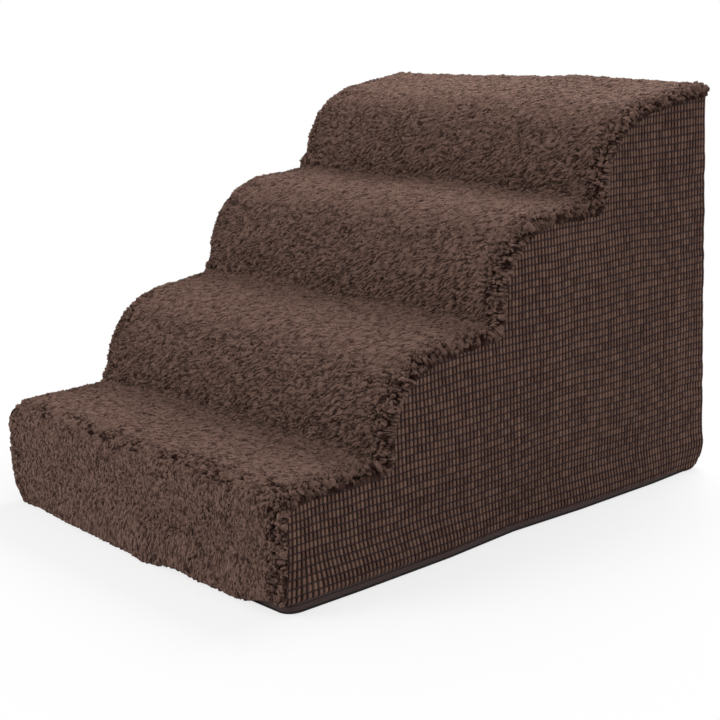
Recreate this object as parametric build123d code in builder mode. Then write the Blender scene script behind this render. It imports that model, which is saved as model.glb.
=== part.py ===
from build123d import *
import math
import os

os.makedirs("parts", exist_ok=True)

# Foam pet stairs with a zip-off cover. X runs across the steps, the front faces -Y, Z is up.
# The origin is on the floor, under the middle of the stairs.

# Steps, measured over the plush
stairs_width = 445
first_step_height = 107
first_step_depth = 119
step_rise = 96.4
step_run = 142.5
top_step_depth = 156
step_count = 4
tread_tilts = [0, 5, 1, 7]  # degrees that each tread leans up towards the back, from the first step
nose_radius = 78
front_nose_radius = 23
valley_radius = 7
fit_share = 0.98  # part of a riser or a tread that its two curves may take up

# Cover fabrics
plush_thickness = 9.5
plush_edge_radius = 5
plush_roll = 1.5  # how far the rolled plush edge stands out from the side panels
plush_overhang = 3  # how far the plush stands out from the back panel
plush_hem_height = 10
panel_thickness = 2.5
base_thickness = 2.5
base_rim = 0.8  # base cloth outside the zipper tape
seam_gap = 0.3
heel_radius = 22  # the cover turns under the back in this curve
heel_tail = 3  # flat end of the back panel, past the curve
hem_drop = 26  # length over which the side hem comes down to the base, behind the zipper

# Foam core
core_gap = 0.3

# Zipper, a closed chain with its coils on the inside
tape_width = 10  # one tape, from the chain's middle to its sewn edge
tape_thickness = 0.7
chain_slot = 0.6  # gap between the two tapes
coil_width = 2
coil_thickness = 1.6
coil_slot = 0.2  # gap between the two closed coils
zipper_corner_radius = 12
zipper_tail = 6  # tape left past the stops, tucked in behind the side panels
stop_length = 2

# Slider and pull
slider_length = 9
wing_thickness = 0.9
flange_thickness = 0.6
run_clearance = 0.3
wing_corner_radius = 0.5
throat_length = 2  # over which the slider widens from its tail to its nose
divider_width = 2.1
divider_length = 3.9
divider_point = 1.7  # length of the divider's tapered end
bail_length = 7
bail_leg = 1
bail_width = 1.6
bail_thickness = 0.9
bail_corner_radius = 0.8
pull_pin = 1.2  # diameter of the pull's end bar, under the bail
pull_arm = 1.2
pull_thickness = 1.1
pull_length = 24
pull_tip_width = 6
pull_slot_width = 2
pull_slot_length = 8
pull_corner_radius = 1

overrun = 20  # how far cutting shapes pass what they cut

# Places that follow from the sizes above
half_width = stairs_width / 2
stairs_length = first_step_depth + step_run * (step_count - 2) + top_step_depth
front_y = -stairs_length / 2
back_y = stairs_length / 2
riser_places = [front_y] + [
    front_y + first_step_depth + i * step_run for i in range(step_count - 1)
]
tread_ends = riser_places[1:] + [back_y]
tread_levels = [first_step_height + i * step_rise for i in range(step_count)]

panel_depth = plush_thickness + seam_gap
panel_outside = half_width - plush_roll
panel_inside = panel_outside - panel_thickness
panel_back = back_y - plush_overhang
base_back = panel_back - heel_radius - heel_tail

# The zipper runs just inside the side panels and behind the front hem
tape_front = front_y + plush_thickness
tape_middle = panel_inside - tape_thickness / 2
parting = divider_width / 2 + run_clearance  # half the gap between the coils beside the divider
slider_half_width = parting + coil_width + run_clearance + flange_thickness
slider_tail_half_width = coil_slot / 2 + coil_width + run_clearance + flange_thickness
zipper_height = base_thickness + tape_thickness + run_clearance + slider_half_width
hem_height = zipper_height + slider_half_width + run_clearance
tape_top = zipper_height + tape_width
tape_end = base_back - seam_gap
parked_y = (
    base_back - hem_drop - zipper_tail - stop_length - run_clearance - slider_length / 2
)
chain_end = parked_y + slider_length / 2 + run_clearance

# The core's lower edges are bevelled, so that the zipper lies clear of the foam
core_bottom = base_thickness + core_gap
corner_sink = zipper_corner_radius * (1 - math.cos(math.radians(45)))
core_bevel = tape_top - core_bottom + tape_thickness + core_gap + corner_sink
core_half_width = panel_inside - core_gap
core_back = panel_back - panel_thickness - core_gap


# Length of straight line that a round corner takes up, where a level line turns up or down
def corner_reach(radius, tilt):
    return radius * math.tan(math.radians(90 - tilt) / 2)


# Largest nose curve, up to nose_radius, that a riser and its tread have room for
def fitted_nose(step):
    tilt = tread_tilts[step]
    foot = corner_reach(valley_radius, tread_tilts[step - 1])
    depth = tread_ends[step] - riser_places[step]
    rise = step_rise - depth * math.tan(math.radians(tilt))
    room = min(rise * fit_share - foot, depth * fit_share - corner_reach(valley_radius, tilt))
    return min(nose_radius, room / corner_reach(1, tilt))


# Corners and radii of the stepped line, this deep under the plush surface, from the front
# up over the steps to the line y = back
def stepped_line(depth, back):
    points = []
    radii = []
    for step in range(step_count):
        slope = math.tan(math.radians(tread_tilts[step]))
        sunk = tread_levels[step] - depth / math.cos(math.radians(tread_tilts[step]))
        nose_y = riser_places[step] + depth
        end_y = tread_ends[step] + depth
        if step == step_count - 1:
            end_y = back
        radius = fitted_nose(step) if step else front_nose_radius
        points += [
            (nose_y, sunk - (tread_ends[step] - nose_y) * slope),
            (end_y, sunk - (tread_ends[step] - end_y) * slope),
        ]
        radii += [radius - depth, valley_radius + depth]
    return points, radii[:-1] + [0]


# A closed outline in the side view, with a radius for each corner
def side_view(points, radii):
    with BuildSketch(Plane.YZ) as view:
        with BuildLine():
            FilletPolyline(points, radius=radii, close=True)
        make_face()
    return view.sketch


# Plan of a strip that runs along both sides and the front, this far inside the tape's face
def strip_plan(inset, thickness, right_end, left_end):
    outside = panel_inside - inset
    inside = outside - thickness
    front = tape_front + inset
    rear = max(right_end, left_end) + overrun
    with BuildSketch() as plan:
        with BuildLine():
            FilletPolyline(
                [(-outside, left_end), (-outside, front), (outside, front), (outside, right_end)],
                radius=[0, zipper_corner_radius - inset, zipper_corner_radius - inset, 0],
                close=True,
            )
        make_face()
        with BuildLine():
            FilletPolyline(
                [
                    (-inside, rear),
                    (-inside, front + thickness),
                    (inside, front + thickness),
                    (inside, rear),
                ],
                radius=[
                    0,
                    zipper_corner_radius - inset - thickness,
                    zipper_corner_radius - inset - thickness,
                    0,
                ],
                close=True,
            )
        make_face(mode=Mode.SUBTRACT)
    return plan.sketch


# Foam core: the stepped block, its lower front and side edges bevelled and its heel rounded
core_depth = plush_thickness + core_gap
core_points, core_radii = stepped_line(core_depth, core_back)
core_front = front_y + core_depth
with BuildPart() as foam_core:
    extrude(
        side_view(
            [(core_front + core_bevel, core_bottom), (core_front, core_bottom + core_bevel)]
            + core_points
            + [(core_back, core_bottom)],
            [0, 0] + core_radii + [heel_radius - panel_thickness - core_gap],
        ),
        amount=core_half_width,
        both=True,
    )
    with BuildSketch(Plane.XZ) as front_view:
        with BuildLine():
            Polyline(
                (-core_half_width + core_bevel, core_bottom),
                (core_half_width - core_bevel, core_bottom),
                (core_half_width, core_bottom + core_bevel),
                (core_half_width, tread_levels[-1]),
                (-core_half_width, tread_levels[-1]),
                (-core_half_width, core_bottom + core_bevel),
                close=True,
            )
        make_face()
    extrude(amount=stairs_length, both=True, mode=Mode.INTERSECT)

# Plush runner: one thick strip over the whole flight, rolled over along its edges
plush_points, plush_radii = stepped_line(0, back_y)
lining_points, lining_radii = stepped_line(plush_thickness, back_y + overrun)
with BuildPart() as plush_runner:
    extrude(
        side_view(
            [(front_y, plush_hem_height)] + plush_points + [(back_y, plush_hem_height)],
            [0] + plush_radii[:-1] + [plush_edge_radius, 0],
        ),
        amount=half_width,
        both=True,
    )
    rims = plush_runner.edges().filter_by(Axis.X, reverse=True)
    hems = rims.filter_by_position(Axis.Z, plush_hem_height, plush_hem_height)
    fillet(rims - hems, radius=plush_edge_radius)
    extrude(
        side_view(
            [(front_y + plush_thickness, -overrun)]
            + lining_points
            + [(back_y + overrun, -overrun)],
            [0] + lining_radii + [0],
        ),
        amount=stairs_width,
        both=True,
        mode=Mode.SUBTRACT,
    )

# Side panels: flat cloth under the plush edge, down to the zipper and round the heel
panel_points, panel_radii = stepped_line(panel_depth, panel_back)
panel_view = side_view(
    [(front_y + panel_depth, hem_height)]
    + panel_points
    + [
        (panel_back, 0),
        (base_back, 0),
        (base_back, base_thickness),
        (base_back - hem_drop, hem_height),
    ],
    [0] + panel_radii + [heel_radius, 0, 0, 0],
)
with BuildPart() as right_side_panel:
    extrude(panel_view, amount=panel_outside, both=True)
    extrude(panel_view, amount=panel_inside, both=True, mode=Mode.SUBTRACT)
    split(bisect_by=Plane.YZ, keep=Keep.TOP)

with BuildPart() as left_side_panel:
    mirror(right_side_panel.part, about=Plane.YZ)

# Back panel: down from the plush and under the heel, between the side panels
panel_top = panel_points[-1][1]
tread_slope = math.tan(math.radians(tread_tilts[-1]))
with BuildPart() as back_panel:
    extrude(
        side_view(
            [
                (panel_back, panel_top),
                (panel_back, 0),
                (base_back, 0),
                (base_back, panel_thickness),
                (panel_back - panel_thickness, panel_thickness),
                (panel_back - panel_thickness, panel_top - panel_thickness * tread_slope),
            ],
            [0, heel_radius, 0, 0, heel_radius - panel_thickness, 0],
        ),
        amount=core_half_width,
        both=True,
    )

# Base panel: non-slip cloth, rounded at the front corners like the zipper that edges it
base_outside = panel_inside + base_rim
with BuildPart() as base_panel:
    with BuildSketch():
        with BuildLine():
            FilletPolyline(
                [
                    (-base_outside, base_back - seam_gap),
                    (-base_outside, tape_front - base_rim),
                    (base_outside, tape_front - base_rim),
                    (base_outside, base_back - seam_gap),
                ],
                radius=[0, zipper_corner_radius + base_rim, zipper_corner_radius + base_rim, 0],
                close=True,
            )
        make_face()
    extrude(amount=base_thickness)

# The tapes part beside the parked slider's divider: this wedge is the gap between them there
with BuildSketch(Plane.YZ) as parting_view:
    with BuildLine():
        Polyline(
            (parked_y, zipper_height),
            (parked_y + throat_length, zipper_height + parting),
            (chain_end + stop_length, zipper_height + parting),
            (tape_end + overrun, zipper_height),
            (chain_end + stop_length, zipper_height - parting),
            (parked_y + throat_length, zipper_height - parting),
            close=True,
        )
    make_face()

# Upper tape: a band behind the side hems and the front hem
with BuildPart() as zipper_tape_upper:
    with BuildSketch(Plane.XY.offset(zipper_height + chain_slot / 2)):
        add(strip_plan(0, tape_thickness, tape_end, tape_end))
    extrude(amount=tape_width - chain_slot / 2)
    extrude(parting_view.sketch, amount=-stairs_width, mode=Mode.SUBTRACT)

# Lower tape: stands on the base panel's rim, then folds in over it
tape_stand = zipper_height - chain_slot / 2 - base_thickness
with BuildPart() as zipper_tape_lower:
    with BuildSketch(Plane.XY.offset(base_thickness)):
        add(strip_plan(0, tape_thickness, tape_end, tape_end))
    extrude(amount=tape_stand)
    with BuildSketch(Plane.XY.offset(base_thickness)):
        add(strip_plan(0, tape_width - tape_stand, tape_end, tape_end))
    extrude(amount=tape_thickness)
    extrude(parting_view.sketch, amount=-stairs_width, mode=Mode.SUBTRACT)


# One closed coil as a plain bead round the cover, and its last stretch, which bends away
# from the other coil beside the slider's divider. Side is 1 for the upper coil, -1 for the lower.
def coil_bead(side):
    inner = zipper_height + side * coil_slot / 2
    parted = zipper_height + side * parting
    bead_plane = Plane.XY.offset(min(inner, inner + side * coil_width))
    bead_plan = strip_plan(tape_thickness, coil_thickness, chain_end, parked_y)
    with BuildPart() as bead:
        with BuildSketch(bead_plane):
            add(bead_plan)
        extrude(amount=coil_width)
        with BuildSketch(Plane.YZ.offset(-panel_inside + tape_thickness)):
            with BuildLine():
                Polyline(
                    (parked_y, inner),
                    (parked_y + throat_length, parted),
                    (chain_end, parted),
                    (chain_end, parted + side * coil_width),
                    (parked_y + throat_length, parted + side * coil_width),
                    (parked_y, inner + side * coil_width),
                    close=True,
                )
            make_face()
        extrude(amount=coil_thickness)
    return bead.part


with BuildPart() as zipper_coil_upper:
    add(coil_bead(1))

with BuildPart() as zipper_coil_lower:
    add(coil_bead(-1))

# Stops: a crimp on each coil where the chain ends on the left, one across both on the right
stop_depth = panel_inside - tape_thickness - coil_thickness / 2
with BuildPart() as zipper_top_stops:
    for side in (-1, 1):
        with Locations(
            (
                -stop_depth,
                chain_end + stop_length / 2,
                zipper_height + side * (parting + coil_width / 2),
            )
        ):
            Box(coil_thickness, stop_length, coil_width)

with BuildPart() as zipper_bottom_stop:
    with Locations((stop_depth, chain_end + stop_length / 2, zipper_height)):
        Box(coil_thickness, stop_length, 2 * coil_width + coil_slot)

# Slider, drawn on the left run of the tape: local X is towards its nose, local Z outwards
slider_plane = Plane(
    origin=(-tape_middle, parked_y, zipper_height), x_dir=(0, 1, 0), z_dir=(-1, 0, 0)
)
wing_inside = tape_thickness / 2 + run_clearance
wing_outside = wing_inside + wing_thickness
coil_floor = tape_thickness / 2 + coil_thickness + run_clearance
nose_x = slider_length / 2


# Outline of a wing: narrow at the tail, wide at the two throats of the nose
def wing_view(shrink, corner_radius):
    tail = slider_tail_half_width - shrink
    nose = slider_half_width - shrink
    with BuildSketch() as wing:
        with BuildLine():
            FilletPolyline(
                [
                    (-nose_x, -tail),
                    (0, -tail),
                    (throat_length, -nose),
                    (nose_x, -nose),
                    (nose_x, nose),
                    (throat_length, nose),
                    (0, tail),
                    (-nose_x, tail),
                ],
                radius=[corner_radius, 0, 0, corner_radius] * 2,
                close=True,
            )
        make_face()
    return wing.sketch


with BuildPart() as zipper_slider:
    # inner wing, behind the coils
    with BuildSketch(slider_plane.offset(-coil_floor - wing_thickness)):
        add(wing_view(0, wing_corner_radius))
    extrude(amount=wing_thickness)
    # flanges that hold the two coils together, with the channel between them
    with BuildSketch(slider_plane.offset(-coil_floor)):
        add(wing_view(0, wing_corner_radius))
        add(wing_view(flange_thickness, 0), mode=Mode.SUBTRACT)
    extrude(amount=coil_floor - wing_inside)
    # outer wing, in front of the tapes
    with BuildSketch(slider_plane.offset(wing_inside)):
        add(wing_view(0, wing_corner_radius))
    extrude(amount=wing_thickness)
    # divider between the throats, pointed towards the tail, joining the two wings
    with BuildSketch(slider_plane.offset(-coil_floor)):
        with BuildLine():
            Polyline(
                (nose_x - divider_length, 0),
                (nose_x - divider_length + divider_point, -divider_width / 2),
                (nose_x, -divider_width / 2),
                (nose_x, divider_width / 2),
                (nose_x - divider_length + divider_point, divider_width / 2),
                close=True,
            )
        make_face()
    extrude(amount=coil_floor + wing_inside)
    # bail, an arch along the outer wing
    bail_opening = pull_pin + 2 * run_clearance
    bail_plane = Plane(origin=slider_plane.origin, x_dir=(0, 1, 0), z_dir=(0, 0, 1))
    bail_top = wing_outside + bail_opening + bail_thickness
    with BuildSketch(bail_plane):
        with BuildLine():
            FilletPolyline(
                [
                    (-bail_length / 2, wing_inside),
                    (-bail_length / 2, bail_top),
                    (bail_length / 2, bail_top),
                    (bail_length / 2, wing_inside),
                ],
                radius=[0, bail_corner_radius, bail_corner_radius, 0],
                close=True,
            )
        make_face()
        with Locations((0, wing_outside + bail_opening / 2)):
            Rectangle(bail_length - 2 * bail_leg, bail_opening, mode=Mode.SUBTRACT)
    extrude(amount=bail_width / 2, both=True)

# Pull: its end bar lies under the bail, two arms pass the bail, and the tab lies along the chain
pin_height = wing_outside + run_clearance + pull_pin / 2
window_half_width = bail_width / 2 + run_clearance
ring_half_width = window_half_width + pull_arm
window_end = math.hypot(bail_length / 2, bail_top - pin_height) + run_clearance
pull_plane = slider_plane.offset(pin_height)
with BuildPart() as zipper_pull:
    with BuildSketch(pull_plane.offset(-pull_thickness / 2)):
        with BuildLine():
            FilletPolyline(
                [
                    (0, -ring_half_width),
                    (0, ring_half_width),
                    (-window_end, ring_half_width),
                    (-pull_length + pull_tip_width / 2, pull_tip_width / 2),
                    (-pull_length, pull_tip_width / 2),
                    (-pull_length, -pull_tip_width / 2),
                    (-pull_length + pull_tip_width / 2, -pull_tip_width / 2),
                    (-window_end, -ring_half_width),
                ],
                radius=[
                    0,
                    0,
                    pull_corner_radius,
                    0,
                    pull_tip_width / 3,
                    pull_tip_width / 3,
                    0,
                    pull_corner_radius,
                ],
                close=True,
            )
        make_face()
        with Locations((-window_end / 2, 0)):
            Rectangle(window_end, 2 * window_half_width, mode=Mode.SUBTRACT)
        with Locations((-pull_length + pull_tip_width / 2 + pull_slot_length / 2, 0)):
            SlotOverall(pull_slot_length, pull_slot_width, mode=Mode.SUBTRACT)
    extrude(amount=pull_thickness)
    with BuildSketch(Plane.XY.offset(zipper_height - ring_half_width)):
        with Locations((-tape_middle - pin_height, parked_y)):
            Circle(pull_pin / 2)
    extrude(amount=2 * ring_half_width)

foam_core.part.label = "foam_core"
plush_runner.part.label = "plush_runner"
right_side_panel.part.label = "right_side_panel"
left_side_panel.part.label = "left_side_panel"
back_panel.part.label = "back_panel"
base_panel.part.label = "base_panel"
zipper_tape_upper.part.label = "zipper_tape_upper"
zipper_tape_lower.part.label = "zipper_tape_lower"
zipper_coil_upper.part.label = "zipper_coil_upper"
zipper_coil_lower.part.label = "zipper_coil_lower"
zipper_top_stops.part.label = "zipper_top_stops"
zipper_bottom_stop.part.label = "zipper_bottom_stop"
zipper_slider.part.label = "zipper_slider"
zipper_pull.part.label = "zipper_pull"

export_step(foam_core.part, "parts/foam_core.step")
export_step(plush_runner.part, "parts/plush_runner.step")
export_step(right_side_panel.part, "parts/right_side_panel.step")
export_step(left_side_panel.part, "parts/left_side_panel.step")
export_step(back_panel.part, "parts/back_panel.step")
export_step(base_panel.part, "parts/base_panel.step")
export_step(zipper_tape_upper.part, "parts/zipper_tape_upper.step")
export_step(zipper_tape_lower.part, "parts/zipper_tape_lower.step")
export_step(zipper_coil_upper.part, "parts/zipper_coil_upper.step")
export_step(zipper_coil_lower.part, "parts/zipper_coil_lower.step")
export_step(zipper_top_stops.part, "parts/zipper_top_stops.step")
export_step(zipper_bottom_stop.part, "parts/zipper_bottom_stop.step")
export_step(zipper_slider.part, "parts/zipper_slider.step")
export_step(zipper_pull.part, "parts/zipper_pull.step")

print("slider parked at", round(parked_y, 2), "height", round(zipper_height, 2))
print("pull pin at", round(-tape_middle - pin_height, 3), round(parked_y, 3))
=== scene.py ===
import math

import bpy
import numpy as np
from mathutils import Matrix, Vector


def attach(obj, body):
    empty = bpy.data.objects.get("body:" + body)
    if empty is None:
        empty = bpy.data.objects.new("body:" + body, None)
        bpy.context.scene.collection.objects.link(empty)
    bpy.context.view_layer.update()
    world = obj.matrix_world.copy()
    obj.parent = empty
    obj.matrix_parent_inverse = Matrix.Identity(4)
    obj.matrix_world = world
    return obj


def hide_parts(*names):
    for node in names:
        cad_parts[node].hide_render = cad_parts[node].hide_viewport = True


# Foam pet stairs with a plush flight and waffle-weave sides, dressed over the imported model.
# Metres, X across the steps, the front faces -Y, Z up.
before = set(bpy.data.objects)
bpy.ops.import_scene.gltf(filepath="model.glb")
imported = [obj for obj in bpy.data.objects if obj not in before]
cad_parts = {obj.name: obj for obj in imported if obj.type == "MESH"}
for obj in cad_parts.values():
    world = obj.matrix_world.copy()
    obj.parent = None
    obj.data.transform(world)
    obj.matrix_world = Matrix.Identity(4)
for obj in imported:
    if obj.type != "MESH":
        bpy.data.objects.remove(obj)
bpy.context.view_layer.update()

stairs = {
    "firstHeight": 0.107,
    "firstDepth": 0.119,
    "rise": 0.0964,
    "run": 0.1425,
    "tilts": (0, 5, 1, 7),  # degrees that each tread leans up towards the back
    "noseRadius": 0.078,
    "frontNoseRadius": 0.023,
    "valleyRadius": 0.007,
    "fitShare": 0.98,
    "frontY": -0.280,
    "backY": 0.280,
    "frontTuck": 0.0068,  # how much closer to the front the side seams are there
}
steps = len(stairs["tilts"])
risers = [stairs["frontY"]] + [
    stairs["frontY"] + stairs["firstDepth"] + i * stairs["run"] for i in range(steps - 1)
]
treadEnds = risers[1:] + [stairs["backY"]]
levels = [stairs["firstHeight"] + i * stairs["rise"] for i in range(steps)]


def cornerReach(radius, tilt):
    return radius * math.tan(math.radians(90 - tilt) / 2)


def fittedNose(step):
    tilt = stairs["tilts"][step]
    foot = cornerReach(stairs["valleyRadius"], stairs["tilts"][step - 1])
    depth = treadEnds[step] - risers[step]
    rise = stairs["rise"] - depth * math.tan(math.radians(tilt))
    share = stairs["fitShare"]
    room = min(rise * share - foot, depth * share - cornerReach(stairs["valleyRadius"], tilt))
    return min(stairs["noseRadius"], room / cornerReach(1, tilt))


def steppedLine(depth, back):
    # corners and radii of the flight, this deep under the plush, in (y, z)
    points, radii = [], []
    for i in range(steps):
        tilt = math.radians(stairs["tilts"][i])
        slope = math.tan(tilt)
        sunk = levels[i] - depth / math.cos(tilt)
        noseY = risers[i] + depth
        endY = back if i == steps - 1 else treadEnds[i] + depth
        points += [(y, sunk - (treadEnds[i] - y) * slope) for y in (noseY, endY)]
        radii.append((fittedNose(i) if i else stairs["frontNoseRadius"]) - depth)
        radii.append(stairs["valleyRadius"] + depth)
    return points, radii[:-1] + [0]


def roundedLine(points, radii, chord=0.0015, closed=False):
    # the line through these corners, each rounded to its radius
    out = []
    count = len(points)
    for i, (here, radius) in enumerate(zip(points, radii)):
        p = np.array(here, float)
        if radius <= 0 or (not closed and i in (0, count - 1)):
            out.append(p)
            continue
        a = np.array(points[i - 1], float) - p
        b = np.array(points[(i + 1) % count], float) - p
        a, b = a / np.linalg.norm(a), b / np.linalg.norm(b)
        half = math.acos(np.clip(a @ b, -1, 1)) / 2
        middle = (a + b) / np.linalg.norm(a + b)
        centre = p + middle * radius / math.sin(half)
        start, end = p + a * radius / math.tan(half), p + b * radius / math.tan(half)
        v, w = start - centre, end - centre
        turn = math.acos(np.clip(v @ w / radius**2, -1, 1))
        parts = max(2, math.ceil(turn * radius / chord))
        for t in np.linspace(0, 1, parts + 1):
            bent = math.sin((1 - t) * turn) * v + math.sin(t * turn) * w
            out.append(centre + bent / math.sin(turn))
    return np.array(out)


def distanceAlong(line):
    return np.concatenate([[0], np.cumsum(np.linalg.norm(np.diff(line, axis=0), axis=1))])


def evenLine(line, spacing):
    # evenly spaced points, their outward normals and their distance along the line
    run = distanceAlong(line)
    along = np.linspace(0, run[-1], max(2, round(run[-1] / spacing)) + 1)
    places = np.stack([np.interp(along, run, line[:, k]) for k in (0, 1)], 1)
    slope = np.gradient(places, axis=0)
    slope /= np.linalg.norm(slope, axis=1)[:, None]
    return places, np.stack([-slope[:, 1], slope[:, 0]], 1), along


stir = (374761393, 668265263, 974634777, 1274126177)  # mix whole numbers up
topBits = 0x7FFFFFFF


def lattice(i, j, seed):
    # a fixed random number from 0 to 1 for each whole-number place
    h = i.astype(np.int64) * stir[0] + j.astype(np.int64) * stir[1] + seed * stir[2]
    h = (h ^ (h >> 13)) * stir[3] & topBits
    h = (h ^ (h >> 16)) * stir[2] & topBits
    return (h ^ (h >> 15)) / topBits


def softNoise(a, b, seed):
    # smooth noise from -1 to 1
    i, j = np.floor(a), np.floor(b)
    fa, fb = a - i, b - j
    fa, fb = fa * fa * (3 - 2 * fa), fb * fb * (3 - 2 * fb)
    low = lattice(i, j, seed) * (1 - fa) + lattice(i + 1, j, seed) * fa
    high = lattice(i, j + 1, seed) * (1 - fa) + lattice(i + 1, j + 1, seed) * fa
    return (low * (1 - fb) + high * fb) * 2 - 1


def waves(a, b, seed, *layers):
    # smooth noise in layers, each with its height and its size both ways
    return sum(h * softNoise(a / m, b / n, seed + k) for k, (h, m, n) in enumerate(layers))


def ease(x, low, high):
    t = np.clip((x - low) / (high - low), 0, 1)
    return t * t * (3 - 2 * t)


def hump(x, middle, width):
    return np.exp(-(((x - middle) / width) ** 2))


def woolLocks(u, s, size, stretch, seed, lean=None):
    # the three nearest locks of wool, each longer along its own direction
    margin = 3
    cu, cs = u / size, s / size
    cu, cs = cu - cu.min() + margin, cs - cs.min() + margin
    gi, gj = np.meshgrid(
        np.arange(int(cu.max()) + 5), np.arange(int(cs.max()) + 5), indexing="ij"
    )
    seedU, seedS = gi + lattice(gi, gj, seed), gj + lattice(gi, gj, seed + 1)
    swing = lattice(gi, gj, seed + 3)
    if lean is None:
        turn = math.pi * (1.2 * softNoise(gi / 7, gj / 7, seed + 2) + 0.7 * swing)
    else:
        turn = np.interp(s.min() + (seedS - margin) * size, *lean)
        turn = turn + 0.45 * softNoise(gi / 4, gj / 4, seed + 2) + 0.7 * (swing - 0.5)
    fate = lattice(gi, gj, seed + 4)
    cosine, sine = np.cos(turn), np.sin(turn)
    iu, js = np.floor(cu).astype(int), np.floor(cs).astype(int)
    first, second, third = (np.full(cu.shape, 9.0) for _ in range(3))
    luck, offU, offS = (np.zeros(cu.shape) for _ in range(3))
    for di in range(-2, 3):
        for dj in range(-2, 3):
            a, b = iu + di, js + dj
            du, ds = cu - seedU[a, b], cs - seedS[a, b]
            v = du * cosine[a, b] + ds * sine[a, b]
            w = ds * cosine[a, b] - du * sine[a, b]
            w = w + 0.35 * v * v  # locks are bent
            d = np.sqrt((v / stretch) ** 2 + (w * stretch) ** 2)
            near = d < first
            third = np.where(d < second, second, np.minimum(third, d))
            second = np.where(near, first, np.minimum(second, d))
            first = np.where(near, d, first)
            offU, offS = np.where(near, du, offU), np.where(near, ds, offS)
            luck = np.where(near, fate[a, b], luck)
    return first, second, third, luck, offU * size, offS * size


def addObject(name, data):
    made = bpy.data.objects.new(name, data)
    bpy.context.scene.collection.objects.link(made)
    return made


def dress(piece, material):
    # ride on the stairs with this slot's finish
    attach(piece, "stairs")
    piece.data.materials.append(material)
    return piece


def makeMesh(name, points, faces, material, uv=None, marks=None):
    # a smooth piece of quads from arrays, with a UV and named values for each point
    points = np.asarray(points, np.float32).reshape(-1, 3)
    faces = np.asarray(faces, np.int32)
    mesh = bpy.data.meshes.new(name)
    mesh.vertices.add(len(points))
    mesh.vertices.foreach_set("co", points.ravel())
    mesh.loops.add(faces.size)
    mesh.loops.foreach_set("vertex_index", faces.ravel())
    mesh.polygons.add(len(faces))
    mesh.polygons.foreach_set("loop_start", np.arange(len(faces), dtype=np.int32) * 4)
    mesh.update(calc_edges=True)
    if uv is not None:
        layer = mesh.uv_layers.new(name="cloth")
        spots = np.asarray(uv, np.float32).reshape(-1, 2)
        layer.data.foreach_set("uv", spots[faces.ravel()].ravel())
    for key, values in (marks or {}).items():
        values = np.asarray(values, np.float32).ravel()
        isVector = values.size > len(points)
        mark = mesh.attributes.new(key, "FLOAT_VECTOR" if isVector else "FLOAT", "POINT")
        mark.data.foreach_set("vector" if isVector else "value", values)
    mesh.polygons.foreach_set("use_smooth", np.ones(len(faces), bool))
    mesh.validate()
    return dress(addObject(name, mesh), material)


def makeCapped(name, points, faces, caps, material):
    # a smooth piece of quads, with flat many-sided caps
    mesh = bpy.data.meshes.new(name)
    mesh.from_pydata(points.reshape(-1, 3).tolist(), [], faces.tolist() + caps)
    mesh.validate()
    for face in mesh.polygons:
        face.use_smooth = len(face.vertices) == 4
    return dress(addObject(name, mesh), material)


def gridFaces(rows, columns, wrap=False):
    # quads of a grid of points stored row after row
    r = np.arange(rows - 1)[:, None]
    c = np.arange(columns if wrap else columns - 1)[None]
    d = (c + 1) % columns
    quads = [r * columns + c, r * columns + d, (r + 1) * columns + d, (r + 1) * columns + c]
    return np.stack([np.broadcast_to(q, (rows - 1, c.size)).ravel() for q in quads], 1)


def tubeFaces(count, rings, sides):
    # quads of many small tubes, one after another
    one = gridFaces(rings, sides, wrap=True)
    return (one[None] + (np.arange(count) * rings * sides)[:, None, None]).reshape(-1, 4)


def put(tree, kind, links, **settings):
    # a new node with its settings, its values and its links
    made = tree.nodes.new(kind)
    for key, value in settings.items():
        setattr(made, key, value)
    for key, value in links.items():
        if isinstance(value, bpy.types.NodeSocket):
            tree.links.new(value, made.inputs[key])
        else:
            made.inputs[key].default_value = value
    return made


def treeOf(values):
    return next(v.id_data for v in values if isinstance(v, bpy.types.NodeSocket))


def calc(operation, *values, clamp=False):
    links = dict(enumerate(values))
    made = put(treeOf(values), "ShaderNodeMath", links, operation=operation, use_clamp=clamp)
    return made.outputs[0]


def add(total, *others):
    for other in others:
        total = calc("ADD", total, other)
    return total


def sub(a, b, clamp=False):
    return calc("SUBTRACT", a, b, clamp=clamp)


def mul(a, b):
    return calc("MULTIPLY", a, b)


def vectorCalc(operation, *values, output="Vector"):
    links = dict(enumerate(values))
    made = put(treeOf(values), "ShaderNodeVectorMath", links, operation=operation)
    return made.outputs[output]


def mixValue(factor, a, b):
    return put(factor.id_data, "ShaderNodeMix", {0: factor, 2: a, 3: b}).outputs[0]


def mixColour(factor, a, b):
    links = {0: factor, 6: a, 7: b}
    return put(factor.id_data, "ShaderNodeMix", links, data_type="RGBA").outputs[2]


def remap(value, low, high, toLow=0.0, toHigh=1.0):
    links = {"Value": value, 1: low, 2: high, 3: toLow, 4: toHigh}
    made = put(value.id_data, "ShaderNodeMapRange", links, interpolation_type="SMOOTHSTEP")
    return made.outputs[0]


def split(vector):
    return put(vector.id_data, "ShaderNodeSeparateXYZ", {0: vector}).outputs


def join(x, y):
    return put(x.id_data, "ShaderNodeCombineXYZ", {0: x, 1: y}).outputs[0]


def noise(vector, scale, detail, **more):
    links = {"Vector": vector, "Scale": scale, "Detail": detail, **more}
    return put(vector.id_data, "ShaderNodeTexNoise", links).outputs[0]


def bump(height, strength, distance):
    links = {"Height": height, "Strength": strength, "Distance": distance}
    return put(height.id_data, "ShaderNodeBump", links).outputs[0]


def objectPlace(tree):
    return put(tree, "ShaderNodeTexCoord", {}).outputs["Object"]


def clothPlace(tree):
    return split(put(tree, "ShaderNodeUVMap", {}, uv_map="cloth").outputs[0])


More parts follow.
